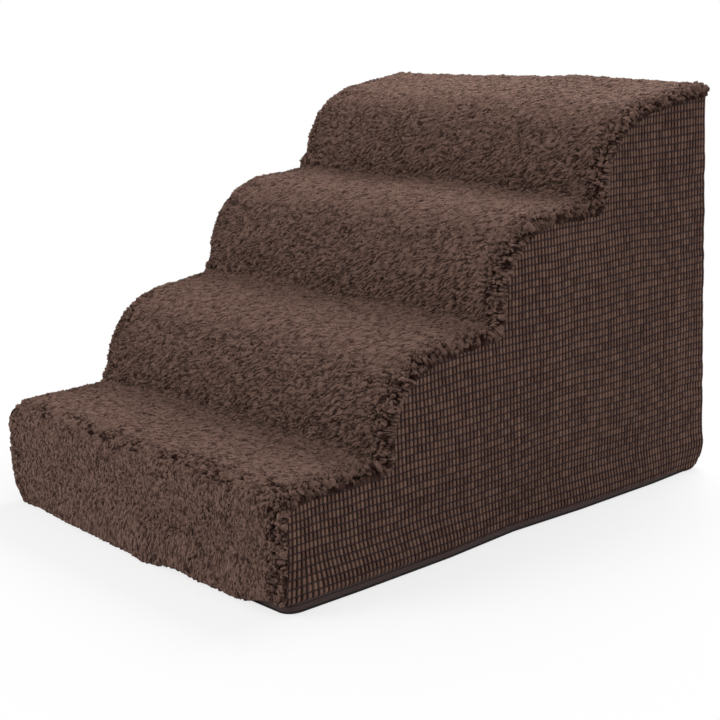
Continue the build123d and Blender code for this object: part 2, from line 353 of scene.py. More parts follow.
def meshMark(tree, name, output="Fac"):
    return put(tree, "ShaderNodeAttribute", {}, attribute_name=name).outputs[output]


def connect(inputs, **wires):
    for key, wire in wires.items():
        wire.id_data.links.new(wire, inputs[key.replace("_", " ")])


def srgb(r, g, b):
    def linear(v):
        v /= 255
        return v / 12.92 if v <= 0.04045 else ((v + 0.055) / 1.055) ** 2.4

    return linear(r), linear(g), linear(b), 1.0


def newGroup(name, inputs, outputs):
    # a node group with these inputs and their values, and these outputs
    group = bpy.data.node_groups.new(name, "ShaderNodeTree")
    for label, value in inputs.items():
        kind = "NodeSocketVector" if isinstance(value, tuple) else "NodeSocketFloat"
        group.interface.new_socket(label, in_out="INPUT", socket_type=kind).default_value = value
    for label in outputs:
        group.interface.new_socket(label, in_out="OUTPUT", socket_type="NodeSocketFloat")
    given = group.nodes.new("NodeGroupInput").outputs
    return group, given, group.nodes.new("NodeGroupOutput").inputs


def useGroup(tree, group, **links):
    links = {key.replace("_", " "): value for key, value in links.items()}
    return put(tree, "ShaderNodeGroup", links, node_tree=group).outputs


def newMaterial(name, **fixed):
    # a material, and its Principled shader's inputs with the values that are the same all over
    material = bpy.data.materials.new(name)
    material.use_nodes = True
    inputs = material.node_tree.nodes["Principled BSDF"].inputs
    for key, value in fixed.items():
        inputs[key.replace("_", " ")].default_value = value
    return material, material.node_tree, inputs


def fibreGroup():
    # fine tangled fibres, longer along one axis where stretched: a height and a light-dark mask
    group, given, out = newGroup(
        "fibres",
        {"Vector": (0.0, 0.0, 0.0), "Scale": 900.0, "Stretch": (1.0, 1.0, 1.0), "Tangle": 1.5},
        ["Height", "Mask"],
    )
    scaled = vectorCalc("MULTIPLY", given["Vector"], given["Stretch"])
    fine = noise(scaled, given["Scale"], 4.0, Roughness=0.65, Distortion=given["Tangle"])
    broad = noise(scaled, mul(given["Scale"], 0.22), 3.0, Distortion=0.8)
    height = add(mul(fine, 0.6), mul(broad, 0.4))
    connect(out, Height=height, Mask=remap(height, 0.35, 0.65))
    return group


def scuffGroup():
    # handling marks on small hard parts: a mask, a roughness and a height
    group, given, out = newGroup(
        "scuffs",
        {"Vector": (0.0, 0.0, 0.0), "Base Roughness": 0.3},
        ["Mask", "Roughness", "Height"],
    )
    patches = noise(given["Vector"], 260.0, 5.0, Roughness=0.7)
    hairlines = noise(given["Vector"], 2400.0, 2.0, Distortion=2.0)
    mask = mul(remap(patches, 0.52, 0.7), remap(hairlines, 0.45, 0.62))
    rough = add(given["Base Roughness"], mul(patches, 0.18))
    connect(out, Mask=mask, Roughness=rough, Height=hairlines)
    return group


def strokeGroup():
    # a height for short strokes of wool, laid in the direction of the two given vectors
    group, given, out = newGroup(
        "strokes",
        {"Vector": (0.0, 0.0, 0.0), "Along": (1.0, 0.0, 0.0), "Across": (0.0, 1.0, 0.0)},
        ["Height"],
    )
    ways = [
        vectorCalc("DOT_PRODUCT", given["Vector"], given[label], output="Value")
        for label in ("Along", "Across")
    ]
    laid = join(*ways)
    broad, narrow = noise(laid, 1.0, 0.0, Distortion=0.5), noise(laid, 2.1, 1.0, Distortion=0.4)
    connect(out, Height=add(mul(broad, 0.58), mul(narrow, 0.42)))
    return group


fibres = fibreGroup()
scuffs = scuffGroup()
strokes = strokeGroup()


plushLook = {
    "tipsAndHighlight": srgb(120, 95, 85),
    "body": srgb(82, 61, 54),
    "creviceShade": srgb(32, 15, 12),
    # degrees, and the strokes' length and width in millimetres, on the front, risers and treads
    # and where the pile is parted along the first step's edge and at the sides
    "strokes": ((90, 4.8, 2.0), (28, 8.5, 1.9), (49, 7.5, 3.2), (12, 8.5, 2.2), (60, 6.6, 5.0)),
    "sway": ((0.045, 7.0), (0.2, 1.1)),  # scale and reach of each drift of the strokes
    "lit": (0.435, 0.585),  # heights from which the pale painted highlight on the raised strokes shows, and shows fully
    "gaps": (0.405, 0.462),  # heights up to which the painted crevice shade shows
    "gapShadeLevel": 0.38,
    "bump": 0.0045,
}


def plushMaterial():
    # short strokes of curled wool, painted paler where they stand high and with painted shade in
    # the gaps between them, over the locks of the mesh
    material, tree, shader = newMaterial(
        "plush pile",
        Roughness=0.95,
        Sheen_Weight=0.22,
        Sheen_Roughness=0.4,
        Sheen_Tint=srgb(200, 165, 145),
        Specular_IOR_Level=0.1,
    )
    across, along, luck = split(meshMark(tree, "strand", "Vector"))
    onFront, onTread, partedBy = split(meshMark(tree, "lie", "Vector"))
    place = join(across, along)
    swayed = place
    for scale, reach in plushLook["sway"]:
        links = {"Vector": place, "Scale": scale, "Detail": 1.0}
        drift = put(tree, "ShaderNodeTexNoise", links).outputs["Color"]
        centred = vectorCalc("SUBTRACT", drift, (0.5, 0.5, 0.5))
        swayed = vectorCalc("MULTIPLY_ADD", centred, (2 * reach, 2 * reach, 0), swayed)
    laid = []
    for degrees, length, width in plushLook["strokes"]:
        cosine, sine = math.cos(math.radians(degrees)), math.sin(math.radians(degrees))
        ways = {
            "Along": (cosine / length, sine / length, 0),
            "Across": (-sine / width, cosine / width, 0),
        }
        laid.append(useGroup(tree, strokes, Vector=swayed, **ways)["Height"])
    wavy = mixValue(onFront, mixValue(onTread, laid[1], laid[2]), laid[0])
    # the parting's sign tells the two kinds apart
    parting = calc("ABSOLUTE", partedBy)
    gaping = mixValue(remap(partedBy, -0.1, 0.1), laid[3], laid[4])
    wavy = mixValue(mul(parting, 0.65), wavy, gaping)
    # the treads are pressed flatter
    calm = sub(sub(1.0, mul(onTread, 0.3)), mul(onFront, 0.12))
    wavy = add(mul(sub(wavy, 0.5), calm), 0.5)
    wool = useGroup(tree, fibres, Vector=objectPlace(tree), Scale=900.0, Tangle=2.0)
    # painted highlight: the raised strokes are made paler
    lit = remap(wavy, *plushLook["lit"])
    warm = add(mul(lit, 0.75), mul(add(luck, wool["Mask"]), 0.14))
    # painted shade: the treads' pile is made a little darker, showing less of its pale colour
    warm = sub(warm, mul(onTread, 0.12), clamp=True)
    body = mixColour(warm, plushLook["body"], plushLook["tipsAndHighlight"])
    # painted shade: the gaps between the strokes and the low places of the relief mark take the
    # dark crevice colour, darker still where the pile is parted
    gapShadeLevel = sub(plushLook["gapShadeLevel"], mul(parting, 0.35))
    closed = remap(sub(wavy, mul(parting, 0.035)), *plushLook["gaps"], gapShadeLevel, 1.0)
    deep = mul(closed, remap(meshMark(tree, "relief"), 0.08, 0.50))
    colour = mixColour(deep, plushLook["creviceShade"], body)
    height = add(wavy, mul(wool["Height"], 0.10), mul(closed, 0.10))
    connect(shader, Base_Color=colour, Normal=bump(height, 1.0, plushLook["bump"]))
    return material


weaveLook = {
    "rib": srgb(124, 97, 85),
    "ribDark": srgb(77, 56, 49),
    "gap": srgb(25, 11, 9),
    "line": srgb(53, 41, 42),
    "lineShare": 0.78,
    "shadeShare": 0.75,
}


def weaveMaterial():
    # upright chenille ribs, dark gaps between them and a thin dark thread over them
    material, tree, shader = newMaterial(
        "waffle weave", Roughness=0.9, Specular_IOR_Level=0.08
    )
    u, v, _ = clothPlace(tree)
    whiteNoise = "ShaderNodeTexWhiteNoise"
    cell = {"Vector": join(calc("FLOOR", u), calc("FLOOR", v))}
    cellLuck = put(tree, whiteNoise, cell, noise_dimensions="3D").outputs[0]
    ribLuck = put(tree, whiteNoise, {"W": calc("FLOOR", u)}, noise_dimensions="1D").outputs[0]
    place, stretch = objectPlace(tree), (1, 1, 0.6)
    fuzz = useGroup(tree, fibres, Vector=place, Scale=1100.0, Stretch=stretch, Tangle=1.2)
    ragged = mul(sub(fuzz["Height"], 0.5), 0.24)
    fromGap = calc("PINGPONG", add(u, ragged), 0.5)
    fromLine = calc("PINGPONG", add(v, mul(ragged, 0.4)), 0.5)
    # each rib narrows at the threads, and some gaps are filled with fuzz
    narrowed = mul(remap(fromLine, 0.06, 0.26, 1.0, 0.0), 0.11)
    ribMask = remap(sub(fromGap, narrowed), 0.12, 0.33, mul(cellLuck, 0.20), 1.0)
    lineMask = remap(fromLine, 0.08, 0.15, 1.0, 0.0)
    luck = add(mul(cellLuck, 0.7), mul(ribLuck, 0.3))
    rib = mixColour(luck, weaveLook["ribDark"], weaveLook["rib"])
    fuzzy = mixColour(mul(fuzz["Mask"], 0.45), rib, weaveLook["rib"])
    cloth = mixColour(ribMask, weaveLook["gap"], fuzzy)
    colour = mixColour(mul(lineMask, weaveLook["lineShare"]), cloth, weaveLook["line"])
    shaded = mul(meshMark(tree, "shaded"), weaveLook["shadeShare"])
    colour = mixColour(shaded, colour, weaveLook["gap"])
    height = add(mul(ribMask, sub(1.0, mul(lineMask, 0.45))), mul(fuzz["Height"], 1.1))
    connect(shader, Base_Color=colour, Normal=bump(height, 0.8, 0.0006))
    return material


tapeLook = {"high": srgb(78, 61, 58), "low": srgb(44, 31, 31), "ribPitch": 0.0011}


def tapeMaterial():
    # narrow woven tape with fine upright ribs, finer than its lengthwise ridges
    material, tree, shader = newMaterial(
        "zipper tape", Roughness=0.8, Sheen_Weight=0.1, Specular_IOR_Level=0.25
    )
    u, v, _ = clothPlace(tree)
    turns = 2 * math.pi / tapeLook["ribPitch"]
    upright, level = calc("SINE", mul(u, turns)), calc("SINE", mul(v, turns * 0.8))
    thread = useGroup(tree, fibres, Vector=objectPlace(tree), Scale=1600.0, Tangle=0.6)
    woven = add(mul(upright, 0.5), mul(level, 0.3), mul(thread["Height"], 0.7))
    colour = mixColour(remap(woven, -0.5, 1.1), tapeLook["low"], tapeLook["high"])
    connect(shader, Base_Color=colour, Normal=bump(woven, 0.6, 0.00035))
    return material


def plainClothMaterial(name, low, high, scale, roughness):
    # close plain cloth: crossed threads and loose fibres
    material, tree, shader = newMaterial(
        name, Roughness=roughness, Sheen_Weight=0.08, Specular_IOR_Level=0.2
    )
    place = objectPlace(tree)
    x, y, z = split(place)
    turns = 2 * math.pi * scale
    crossed = mul(calc("SINE", mul(x, turns)), calc("SINE", mul(add(y, z), turns)))
    thread = useGroup(tree, fibres, Vector=place, Scale=scale, Tangle=1.0)
    height = add(mul(crossed, 0.35), thread["Height"])
    colour = mixColour(remap(height, 0.1, 0.9), low, high)
    connect(shader, Base_Color=colour, Normal=bump(height, 0.5, 0.0004))
    return material


foamLook = {
    "tones": (srgb(226, 214, 184), srgb(236, 228, 204)),
    "pits": srgb(176, 160, 126),
}


def foamMaterial():
    # open-cell foam: fine pits, a little uneven in tone
    material, tree, shader = newMaterial("open foam", Roughness=0.95, Specular_IOR_Level=0.1)
    place = objectPlace(tree)
    cells = put(tree, "ShaderNodeTexVoronoi", {"Vector": place, "Scale": 900.0}).outputs["Distance"]
    tone = mixColour(remap(noise(place, 14.0, 4.0), 0.35, 0.65), *foamLook["tones"])
    colour = mixColour(remap(cells, 0.05, 0.4), foamLook["pits"], tone)
    connect(shader, Base_Color=colour, Normal=bump(cells, 0.6, 0.0008))
    return material


def hardMaterial(name, colour, worn, metallic, roughness, coat=0.0):
    # enamel, nylon, rubber or metal with handling marks
    material, tree, shader = newMaterial(name, Metallic=metallic, Coat_Weight=coat)
    marks = useGroup(tree, scuffs, Vector=objectPlace(tree), Base_Roughness=roughness)
    tint = mixColour(mul(marks["Mask"], 0.6), colour, worn)
    relief = bump(marks["Height"], 0.15, 0.0001)
    connect(shader, Base_Color=tint, Roughness=marks["Roughness"], Normal=relief)
    return material


plushCloth = plushMaterial()
waffleCloth = weaveMaterial()
tapeCloth = tapeMaterial()
backingCloth = plainClothMaterial("plush backing", srgb(46, 34, 30), srgb(84, 66, 59), 900.0, 0.9)
baseCloth = plainClothMaterial("base cloth", srgb(20, 17, 16), srgb(44, 38, 36), 1100.0, 0.85)
openFoam = foamMaterial()
coilNylon = hardMaterial("coil nylon", srgb(42, 32, 33), srgb(70, 58, 58), 0.0, 0.3)
gripRubber = hardMaterial("grip rubber", srgb(26, 24, 24), srgb(52, 50, 50), 0.0, 0.55)
crimpMetal = hardMaterial("crimp metal", srgb(150, 146, 142), srgb(190, 188, 184), 1.0, 0.35)
sliderEnamel = hardMaterial("slider enamel", srgb(48, 34, 31), srgb(96, 84, 76), 0.6, 0.25, 0.5)
print("materials made")


plush = {
    "spacing": 0.00112,
    "depth": 0.0030,  # of the pile's roots under the outline of the stairs
    "flatHalf": 0.2168,  # where the runner starts to roll over its side edges
    "edgeRadius": 0.0030,
    "seamDepth": 0.0098,
    "hemHeight": 0.0100,
    "endRadius": 0.004,  # round the top back edge
    "seamTurn": (0.0025, 0.0012),  # in and down, under the seam
    "hemThickness": 0.0095,
    "hemSag": 0.0016,
    "pileHeight": 0.0050,
    "pileLevel": 0.60,  # the share of its height that stays where the pile is smooth
    "lockSize": 0.0040,
    "curlSize": 0.0026,
    "tuftSize": 0.0056,  # along the edges
    "lean": (90, 28, 49),  # degrees on the front, risers and treads
}
backing = {"spacing": 0.008, "depth": 0.0062, "flatHalf": 0.2150, "edgeRadius": 0.0025}


def runnerGrid(layer):
    # points of one layer of the runner, as rows along the flight and columns across it
    depth, spacing, half, radius = (
        layer[key] for key in ("depth", "spacing", "flatHalf", "edgeRadius")
    )
    endRadius = plush["endRadius"]
    corners, radii = steppedLine(depth, stairs["backY"] - depth - endRadius)
    line = roundedLine([(stairs["frontY"] + depth, plush["hemHeight"])] + corners, [0] + radii)
    places, normals, _ = evenLine(line, spacing)
    # across: flat, the rolled edge, down the side and in under the seam
    flat = np.linspace(0, half, round(half / spacing) + 1)
    arc = np.linspace(0, math.pi / 2, 8)[1:]
    edge, sideEnd = half + radius, plush["seamDepth"] - depth
    down = np.linspace(radius, sideEnd, max(3, round((sideEnd - radius) / spacing) + 1))[1:]
    turnIn, turnDown = plush["seamTurn"]
    x = np.concatenate([flat, half + radius * np.sin(arc), 0 * down + edge, [edge - turnIn]])
    inset = np.concatenate([0 * flat, radius * (1 - np.cos(arc)), down, [sideEnd + turnDown]])
    u = distanceAlong(np.stack([x, inset], 1))
    # the left half mirrors the right one
    x, u = (np.concatenate([-v[:0:-1], v]) for v in (x, u))
    inset = np.concatenate([inset[:0:-1], inset])
    y, z = (places[:, k, None] - normals[:, k, None] * inset for k in (0, 1))
    grid = np.stack(np.broadcast_arrays(x, y, z), 2)
    # closed under the front hem
    rim, thick, sag = grid[0], plush["hemThickness"], plush["hemSag"]
    tucked = rim + (0, 0, 0.001)
    tucked[:, 0] = rim[:, 0].clip(-half, half)
    tucked[:, 1] = stairs["frontY"] + thick
    under = []
    for f in (1.0, 0.7, 0.4, 0.15):
        under.append(rim + (tucked - rim) * f - (0, 0, sag * math.sin(math.pi * f)))
    # closed round the top back edge
    last = grid[-1]
    drop = np.maximum(last[:, 2] - (last[len(x) // 2, 2] - thick + depth), 0)
    turn = np.minimum(endRadius, drop)
    end = []
    for angle in np.radians((20, 40, 60, 80, 90)):
        row = last + (0, endRadius * math.sin(angle), 0)
        row[:, 2] -= turn * (1 - math.cos(angle))
        end.append(row)
    for f in (0.5, 1.0):
        row = end[4].copy()
        row[:, 2] -= (drop - turn) * f
        end.append(row)
    end.append(end[-1] - (0, endRadius, 0))
    grid = np.concatenate([np.array(under), grid, np.array(end)])
    return grid, u, distanceAlong(grid[:, len(x) // 2])


def gridWays(grid):
    # the directions out of, across and along a grid of points
    along, across = np.gradient(grid, axis=0), np.gradient(grid, axis=1)
    ways = (np.cross(across, along), across, along)
    return [w / np.maximum(np.linalg.norm(w, axis=2, keepdims=True), 1e-12) for w in ways]


slack = {
    "frontCorners": 0.0025,  # how far the front's upright corners are pulled in
    "leftBelly": 0.0048,
    "topCrown": 0.0042,
    "frontFlare": 0.0085,
    "sideFlare": 0.0085,
    "flarePlaces": (-0.28, -0.20, -0.09, 0.0, 0.09, 0.20, 0.25),  # along the right side
    "flareShares": (0.9, 1.0, 0.8, 0.05, 0.55, 0.6, 0.3),
    "rearBulge": 0.0045,
}


def settle(points):
    # the cover's own slack: rounder corners, low waves, and a hem that flares out on the right
    p = np.array(points, float)
    x, y, z = p[..., 0].copy(), p[..., 1].copy(), p[..., 2].copy()
    side = ease(np.abs(x), 0.15, 0.2225)
    pulled = ease(-y, 0.20, 0.28) * side**3 * ease(z, 0.01, 0.09) * ease(x, -0.1, 0.1)
    p[..., 1] += slack["frontCorners"] * pulled
    bellied = ease(z, 0.013, 0.035) * (1 - ease(z, 0.085, 0.115)) * ease(-y, 0.12, 0.24)
    p[..., 0] -= slack["leftBelly"] * ease(-x, 0.15, 0.2225) * bellied
    wave = 0.0014 * softNoise(x / 0.07 + 3, (y + z) / 0.06, 11)
    wave += waves(x, y + z, 12, (0.0008, 0.03, 0.028))
    p[..., 2] += wave * ease(z, 0.03, 0.12) * (1 - 0.4 * side)
    low = 1 - ease(z, 0.012, 0.05)
    p[..., 1] -= slack["frontFlare"] * ease(-y, 0.235, 0.270) * low * ease(x, -0.20, -0.05)
    share = np.interp(y, slack["flarePlaces"], slack["flareShares"])
    p[..., 0] += slack["sideFlare"] * ease(x, 0.10, 0.19) * low * share
    crown = ease(z, 0.34, 0.38) * ease(y, 0.12, 0.27) * ease(x, -0.09, 0.05)
    p[..., 2] += slack["topCrown"] * crown
    rear = ease(y, 0.20, 0.277) * ease(x, 0.05, 0.2)
    bulge = slack["rearBulge"] * rear * ease(z, 0.004, 0.03)
    ripple = waves(z, 0 * x + 2, 13, (0.0008, 0.009, 1)) * rear * ease(z, 0.02, 0.05)
    p[..., 1] += bulge + ripple
    p[..., 0] += 0.5 * bulge
    return p


hem = {
    "sag": 0.0060,  # how far the runner's front edge hangs over the zipper
    "lift": 0.0030,  # and how far it stands clear at the right corner
    "waves": 0.0010,
    "foldAt": (0.022, 0.028),  # middle and width of its one fold
    "foldDrop": 0.0012,
    "foldOut": 0.0042,
    "dipAt": (0.074, 0.022),
    "dip": 0.0022,
    "leftTuck": 0.0120,
}
shape = {
    "noseSoftness": 0.0034,  # the noses are softer towards the left edge
    "valleyFill": (0.015, 0.007),  # the inner corners are fuller there, and more so the top one
    "edgeRow": (0.103, 0.0085),  # place and width of the large tufts along the first step
    "sideBand": (0.0064, 0.0086),  # past flatHalf, where the pile ends in puckers
    "rolledUnder": (0.0045, 0.0078),
}


def shapeRunner():
    # the surface that carries the pile
    base, u, s = runnerGrid(plush)
    base = settle(base)
    gu, gs = np.meshgrid(u, s)
    x, half, end = base[..., 0], plush["flatHalf"], gu.max()
    # at the front the runner ends close to the corner
    tuck = ease(np.abs(gu), half, end) * (1 - ease(gs, 0.075, 0.105))
    base[..., 1] -= stairs["frontTuck"] * tuck
    # the hem hangs over the zipper, except near the right corner
    lift = ease(x, 0.160, 0.212)
    sag = hem["sag"] * (1 - lift) - hem["lift"] * lift
    sag += hem["waves"] * softNoise(x / 0.03, x * 0 + 5, 21)
    fold = hump(x, *hem["foldAt"])
    sag += hem["foldDrop"] * fold - hem["dip"] * hump(x, *hem["dipAt"])
    base[..., 1] -= hem["foldOut"] * fold * (1 - ease(gs, 0.012, 0.045))
    base[..., 2] -= sag * (1 - ease(gs, 0.006, 0.035))
    lowLeft = (1 - ease(base[..., 2], 0.0, 0.020)) * ease(-x, 0.17, 0.222)
    base[..., 0] += hem["leftTuck"] * lowLeft
    x = base[..., 0]
    normal = gridWays(base)[0]
    rounded = ease(normal[..., 2], 0.15, 0.5) * (1 - ease(normal[..., 2], 0.93, 0.995))
    rounded = rounded * ease(-x, 0.12, 0.21) * ease(gs, 0.13, 0.2)
    base = base - normal * (shape["noseSoftness"] * rounded)[..., None]
    middle = normal[:, base.shape[1] // 2]
    hollow = ease(-np.gradient(middle[:, 2], s), 20, 90)
    for _ in range(6):
        hollow = np.convolve(np.pad(hollow, 3, mode="edge"), np.ones(7) / 7, "valid")
    onTop = 1 - ease(np.abs(gu), half + 0.0045, end - 0.0015)
    fill, topFill = shape["valleyFill"]
    fuller = (fill + topFill * ease(gs, 0.50, 0.60)) * hollow[:, None] * ease(-x, 0.13, 0.22)
    fuller = fuller * onTop * (1 - ease(gs, 0.70, 0.74))
    return base + middle[:, None] * fuller[..., None], x, gu, gs


nap = {
    # stretch and seed of the locks, the curls within them and the tufts along the edges
    "locks": (1.7, 40),
    "curls": (1.6, 50),
    "tufts": (1.25, 55),
    "warp": (0.0016, 0.006, 0.006),  # like all waves: height, and size both ways
    "partings": ((0.5, 0.016, 0.012), (1, 0.005, 0.004)),
    "parted": 0.85,
    "holeSize": 0.41,
    "holeVariety": (0.31, 0.009, 0.009),
    "holeEdge": (0.36, 0.98),
    "creaseDepth": 0.39,
    # the share of the height that is relief, and what the tread, the front and the edges change
    "amount": 0.95,
    "onTread": -0.15,
    "onFront": -0.20,
    "onEdges": 0.80,
    "leftCorner": -0.45,
    "inEdgeRow": 0.7,
    "stripInset": (0.016, 0.010),  # of the parted strip along the right side, and more in front
    "stripFade": 0.013,
    "crackSize": (0.0066, 0.0021),
    "crackSkew": 0.22,
    "crackEdge": (0.20, 0.45),
    "crackDepth": 0.95,
    "bulge": (0.30, 0.12),  # how far the locks lean over their gaps, and less at the edges
    "seamShade": (0.0046, 0.0022, 0.92),  # starts, is full, and its share
    "stripShade": 0.22,
    "holeShade": 0.10,
    "underShade": 0.56,
}


def makePlush():
    base, x, gu, gs = shapeRunner()
    rows, columns = gu.shape
    s, aside, half, end = gs[:, 0], np.abs(gu), plush["flatHalf"], gu.max()
    normal, crossWays, alongWays = gridWays(base)
    tread = ease(normal[..., 2], 0.72, 0.97)
    corner, nearCorner = hump(aside - half, 0.003, 0.0065), hump(aside - half, -0.006, 0.009)
    side = ease(aside - half, *shape["sideBand"])
    warpU, warpS = (g + waves(gu, gs, seed, nap["warp"]) for g, seed in ((gu, 31), (gs, 32)))
    # how the pile lies: up the front, aslant over the risers, and more so on the treads
    frontShare = 1 - ease(s, 0.085, 0.112)
    treadShare = ease(normal[:, columns // 2, 2], 0.72, 0.97)
    up, slant, flatter = plush["lean"]
    degrees = frontShare * up + (1 - frontShare) * (slant + (flatter - slant) * treadShare)
    lean = (s, np.radians(degrees))
    onFront, onTread = frontShare[:, None], treadShare[:, None]
    warped, locks = (warpU, warpS), (plush["lockSize"], *nap["locks"], lean)
    f1, f2, _, luck, offU, offS = woolLocks(*warped, *locks)
    g1, g2, _, luck2, _, _ = woolLocks(*warped, plush["curlSize"], *nap["curls"], lean)
    t1, t2, t3, luck3, tuftU, tuftS = woolLocks(*warped, plush["tuftSize"], *nap["tufts"])
    parted = ease(waves(gu, gs, 61, *nap["partings"]), -0.1, 0.8)
    parted = nap["parted"] * (0.45 + 0.55 * parted) * (1 - 0.7 * tread)
    parted = np.clip(parted + 0.3 * nearCorner, 0, 1)
    seamOfLocks, seamOfCurls = 1 - ease(f2 - f1, 0.0, 0.42), 1 - ease(g2 - g1, 0.0, 0.5)
    dome = 1 - 0.5 * np.clip(f1, 0, 1) ** 2
    height = (1 - parted * seamOfLocks) * (0.62 + 0.38 * luck) * (0.55 + 0.45 * dome)
    height = height * (1 - (0.30 + 0.25 * nearCorner) * seamOfCurls) + 0.10 * (luck2 - 0.5)
    # round tufts with shallow creases, and holes where three of them meet
    opening = nap["holeSize"] + waves(gu, gs, 57, nap["holeVariety"])
    holes = 1 - ease((t3 - t1) / np.maximum(opening, 0.05), *nap["holeEdge"])
    creases = 1 - nap["creaseDepth"] * (1 - ease(t2 - t1, 0.0, 0.38))
    tufts = (1 - holes) * creases * (0.62 + 0.38 * luck3)
    tufts = tufts * np.sqrt(np.clip(1 - 0.6 * t1**2, 0.05, 1)) * (0.55 + 0.45 * height)
    leftSide = ease(-x, 0, 0.1)
    edgeMask = np.clip(1.15 * nearCorner + 0.9 * corner, 0, 1) * (1 - 0.75 * leftSide)
    edgeMask = edgeMask * (0.3 + 0.7 * ease(gs, 0.012, 0.035))
    height = height * (1 - edgeMask) + edgeMask * (0.12 * height + 1.05 * tufts)
    amount = nap["amount"] + nap["onTread"] * tread + nap["onFront"] * onFront
    amount = amount + nap["onEdges"] * edgeMask + nap["leftCorner"] * corner * leftSide
    # larger parted tufts along the top edge of the first step
    edgeRow = hump(gs + waves(gu, 0 * gu, 72, (0.004, 0.04, 1)), *shape["edgeRow"])
    edgeRow = edgeRow * ease(softNoise(gu / 0.014, gs / 0.009, 75), -0.75, 0.1)
    inset, frontInset = nap["stripInset"]
    stripStart = half - inset - frontInset * onFront
    rightStrip = ease(gu, stripStart, stripStart + nap["stripFade"]) * (1 - side)
    rightStrip = rightStrip * (0.35 + 0.65 * ease(softNoise(gu / 0.012, gs / 0.012, 76), -0.4, 0.4))
    lowRiser = 0.35 * (1 - tread) * ease(gu, 0.05, 0.20) * ease(gs, 0.12, 0.16)
    parting = np.clip((0.5 + 0.3 * onFront) * rightStrip + lowRiser, 0, 1)
    parting = parting * (1 - edgeRow) - edgeRow
    lie = np.stack(np.broadcast_arrays(onFront, onTread, parting), 2)
    skew, (long, short) = nap["crackSkew"], nap["crackSize"]
    cracks = softNoise((warpU + skew * warpS) / long, (warpS - skew * warpU) / short, 74)
    cracks = ease(cracks, *nap["crackEdge"]) * np.clip(1.6 * edgeRow, 0, 1)
    height = height * (1 - nap["crackDepth"] * cracks)
    amount = amount + nap["inEdgeRow"] * edgeRow
    puckers = 0.5 + 0.5 * softNoise(gs / 0.006, gu / 0.02, 81)
    height = height * (1 - side) + side * (0.42 + 0.38 * puckers + 0.2 * height)
    level = plush["pileLevel"]
    ends = ease(gs, 0.0, 0.010) * ease(s[-1] - gs, 0.0, 0.008)
    rise = plush["pileHeight"] * (level + (height - level) * amount) * (0.35 + 0.65 * ends)
    most, less = nap["bulge"]
    bulge = (most - less * edgeMask) * (1 - side) * np.clip(height, 0, 1)
    pushU = (offU * (1 - edgeMask) + tuftU * edgeMask) * bulge
    pushS = (offS * (1 - edgeMask) + tuftS * edgeMask) * bulge
    moved = base + normal * rise[..., None]
    moved += crossWays * pushU[..., None] + alongWays * pushS[..., None]
    moved[..., 2] = np.maximum(moved[..., 2], 0.0004)
    # dark in the seam between the runner and the side panels
    starts, full, seamShare = nap["seamShade"]
    inSeam = ease(aside, end - starts, end - full)
    inSeam = inSeam * (0.45 + 0.55 * ease(softNoise(gs / 0.022, gu * 0 + 3, 83), -0.5, 0.3))
    relief = height - nap["stripShade"] * onFront * rightStrip
    relief = relief - nap["holeShade"] * holes * edgeMask
    relief = np.clip(relief, 0, 1) * (1 - seamShare * inSeam)
    rolledUnder = ease(aside - half, *shape["rolledUnder"])
    relief = relief * (1 - nap["underShade"] * rolledUnder * np.maximum(onTread, onFront))
    strand = np.stack([1000 * gu, 1000 * gs, luck], 2)  # millimetres, and the lock's luck
    piece = makeMesh(
        "plush_pile",
        moved,
        gridFaces(rows, columns),
        plushCloth,
        uv=np.stack([gu, gs], 2),
        marks={"relief": relief, "strand": strand, "lie": lie},
    )
    return piece, moved, normal, crossWays, alongWays, gu, gs, lie


pile, pileTop, pileNormal, pileAcross, pileAlong, pileU, pileS, pileLie = makePlush()
print("pile made", len(pile.data.polygons))

curls = {
    "edgeCount": 900,
    "frontCount": 260,
    "riserCount": 700,
    "endGap": 0.026,
    "besideEdge": (-0.003, 0.0050),  # middle and spread of the places beside the side edges
    "besideLimits": (-0.014, 0.006),
    "leftRight": (0.2, 0.8),
    "frontPlace": (0.108, 0.007),  # middle and spread along the flight
    "steepest": 0.75,  # the upward part of the normal where the risers end
    "radius": 0.0020,
    "radiusRange": (0.7, 1.35),
    "leanRange": (-0.5, 0.5),
    "sweepRange": (3.2, 5.2),  # radians that a curl turns through
    "sweepStart": -1.2,
    "flatness": 0.6,
    "thickness": 0.00120,
    "rootDepth": 0.0024,
    "rings": 7,
    "sides": 5,
}


